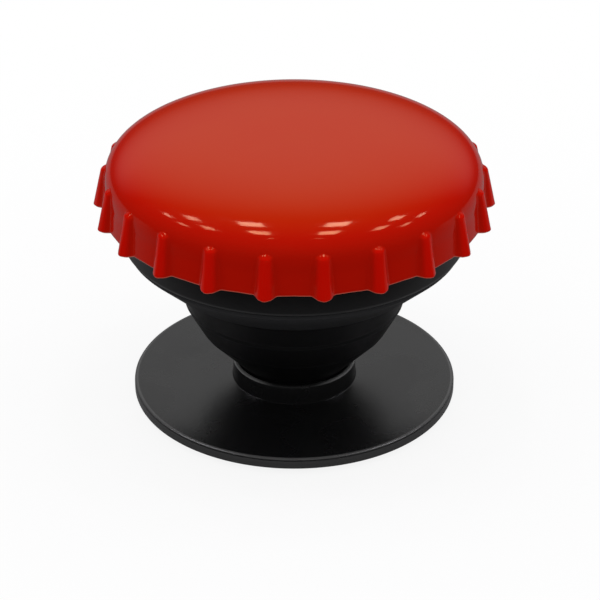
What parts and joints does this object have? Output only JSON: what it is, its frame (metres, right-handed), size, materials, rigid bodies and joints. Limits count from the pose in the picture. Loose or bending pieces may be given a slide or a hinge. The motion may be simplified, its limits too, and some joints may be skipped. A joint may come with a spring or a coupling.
{
  "type": "collapsible phone grip",
  "caption": "Stick-on phone grip: a round base disc with an adhesive pad, a folding black bellows and a wide red head shaped like a fluted crown cap.",
  "frame": {"origin": "centre of the adhesive pad's sticky face, which is stuck to the phone", "axes": "+Z out of the phone along the grip's axis, through the bellows to the top of the cap"},
  "size_m": [0.0486, 0.0482, 0.0349],
  "materials": {
    "pad": "soft tacky gel sheet, matte",
    "black_hard": "satin moulded black",
    "plug": "plain moulded black",
    "washer": "plain moulded grey",
    "bellows": "soft satin black elastomer",
    "tape": "foam tape",
    "red_gloss": "high gloss moulded red"
  },
  "bodies": {
    "base": {"adhesive_pad": "pad", "base_disc": "black_hard"},
    "neck": {"foot_plug": "plug", "foot_washer": "washer", "bellows": "bellows"},
    "head": {"top_plate": "black_hard", "cap_tape": "tape", "crown_cap": "red_gloss"}
  },
  "joints": [
    {"name": "swivel", "type": "hinge", "parent": "base", "child": "neck", "pos_m": [0, 0, 0.0021], "axis": [0, 0, 1], "continuous": true},
    {"name": "collapse", "type": "slide", "parent": "neck", "child": "head", "axis": [0, 0, 1], "range_m": [-0.0155, 0], "deforming": ["bellows"]}
  ]
}
